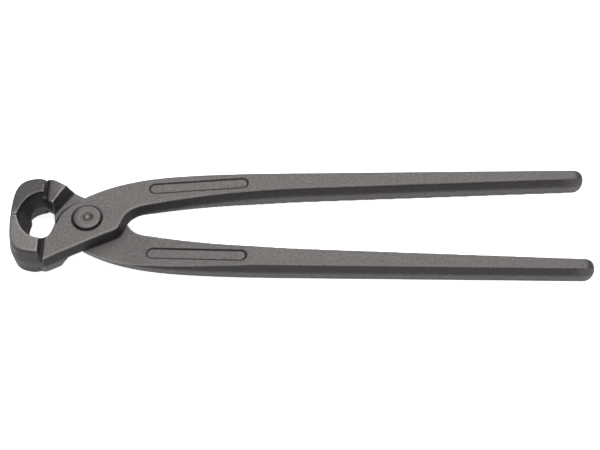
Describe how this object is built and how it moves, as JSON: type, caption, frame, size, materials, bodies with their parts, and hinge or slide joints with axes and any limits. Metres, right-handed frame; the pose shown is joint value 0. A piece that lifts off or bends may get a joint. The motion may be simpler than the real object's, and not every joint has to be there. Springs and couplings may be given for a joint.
{
  "type": "end-cutting nippers",
  "caption": "Forged steel fixer's end-cutting nippers with long slim handles, a half-lap riveted joint and wide front-cutting jaws.",
  "frame": {"origin": "centre of the bounding box in plan, at the underside of the jaws", "axes": "+X along the closed tool from the cutting edge to the handle ends, +Z along the rivet towards the upper arm, +Y towards the upper arm's handle"},
  "size_m": [0.2504, 0.0536, 0.0168],
  "materials": {
    "forged_steel": "dark phosphated, fine forged grain",
    "rivet_steel": "dark phosphated"
  },
  "bodies": {
    "fixed_arm": {"lower_arm": "forged_steel", "rivet": "rivet_steel"},
    "moving_arm": {"upper_arm": "forged_steel"}
  },
  "joints": [
    {"name": "pivot", "type": "hinge", "parent": "fixed_arm", "child": "moving_arm", "pos_m": [-0.0916, 0, 0.0084], "axis": [0, 0, 1], "range_deg": [0, 42]}
  ]
}
